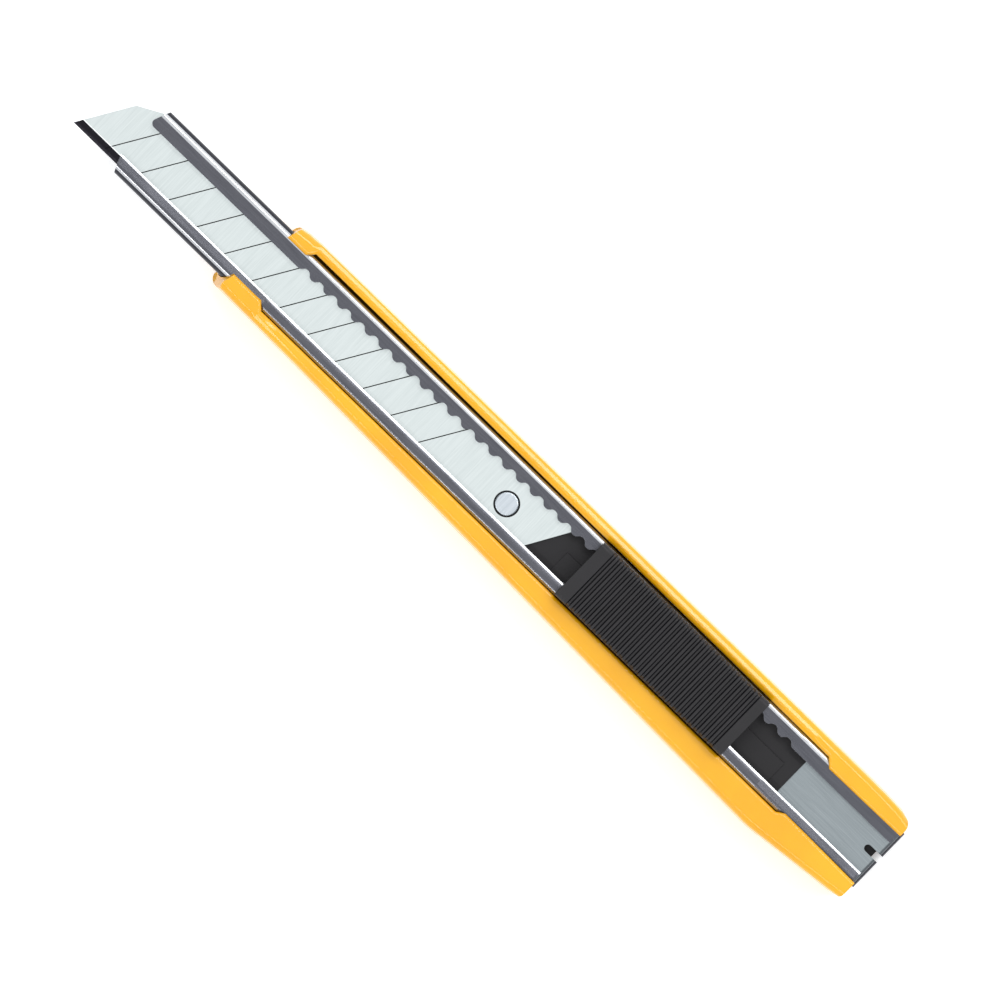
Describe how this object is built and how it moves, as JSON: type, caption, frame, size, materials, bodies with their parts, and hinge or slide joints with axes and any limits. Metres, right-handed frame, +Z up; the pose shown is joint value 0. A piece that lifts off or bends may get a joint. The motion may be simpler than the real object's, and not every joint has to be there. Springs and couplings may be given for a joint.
{
  "type": "utility knife",
  "caption": "Slim snap-off utility knife: moulded handle, rolled steel channel, scored blade and a ribbed thumb slider that clicks along a wavy edge.",
  "frame": {"origin": "under the middle of the outer box, on the plane that the handle's underside rests on, with the slider where it is at rest", "axes": "+X from the tail to the blade's point, +Y towards the cutting edge, +Z up out of the channel"},
  "size_m": [0.1414, 0.016, 0.009],
  "materials": {
    "handle_plastic": "glossy moulded ABS, warm yellow",
    "channel_steel": "rolled stainless strip, satin",
    "blade_steel": "ground carbon steel, satin flats and a darker bevel",
    "slider_plastic": "black acetal, satin",
    "stud_steel": "turned steel, flat head",
    "grip_plastic": "black ribbed moulding, satin",
    "spring_steel": "hardened spring strip"
  },
  "bodies": {
    "knife_body": {"handle": "handle_plastic", "blade_channel": "channel_steel"},
    "slider": {"blade_carrier": "slider_plastic", "blade_stud": "stud_steel", "snap_off_blade": "blade_steel", "thumb_grip": "grip_plastic"},
    "click_arm": {"click_spring": "spring_steel"}
  },
  "joints": [
    {"name": "slider_slide", "type": "slide", "parent": "knife_body", "child": "slider", "axis": [1, 0, 0], "range_m": [-0.00992, 0.0496]},
    {"name": "click_arm_flex", "type": "hinge", "parent": "slider", "child": "click_arm", "pos_m": [-0.0203, -0.00272, 0.0054], "axis": [0, 0, 1], "range_deg": [-3.3, 0], "stiffness_Nm_per_rad": 0.05, "springref_deg": 1.72}
  ]
}
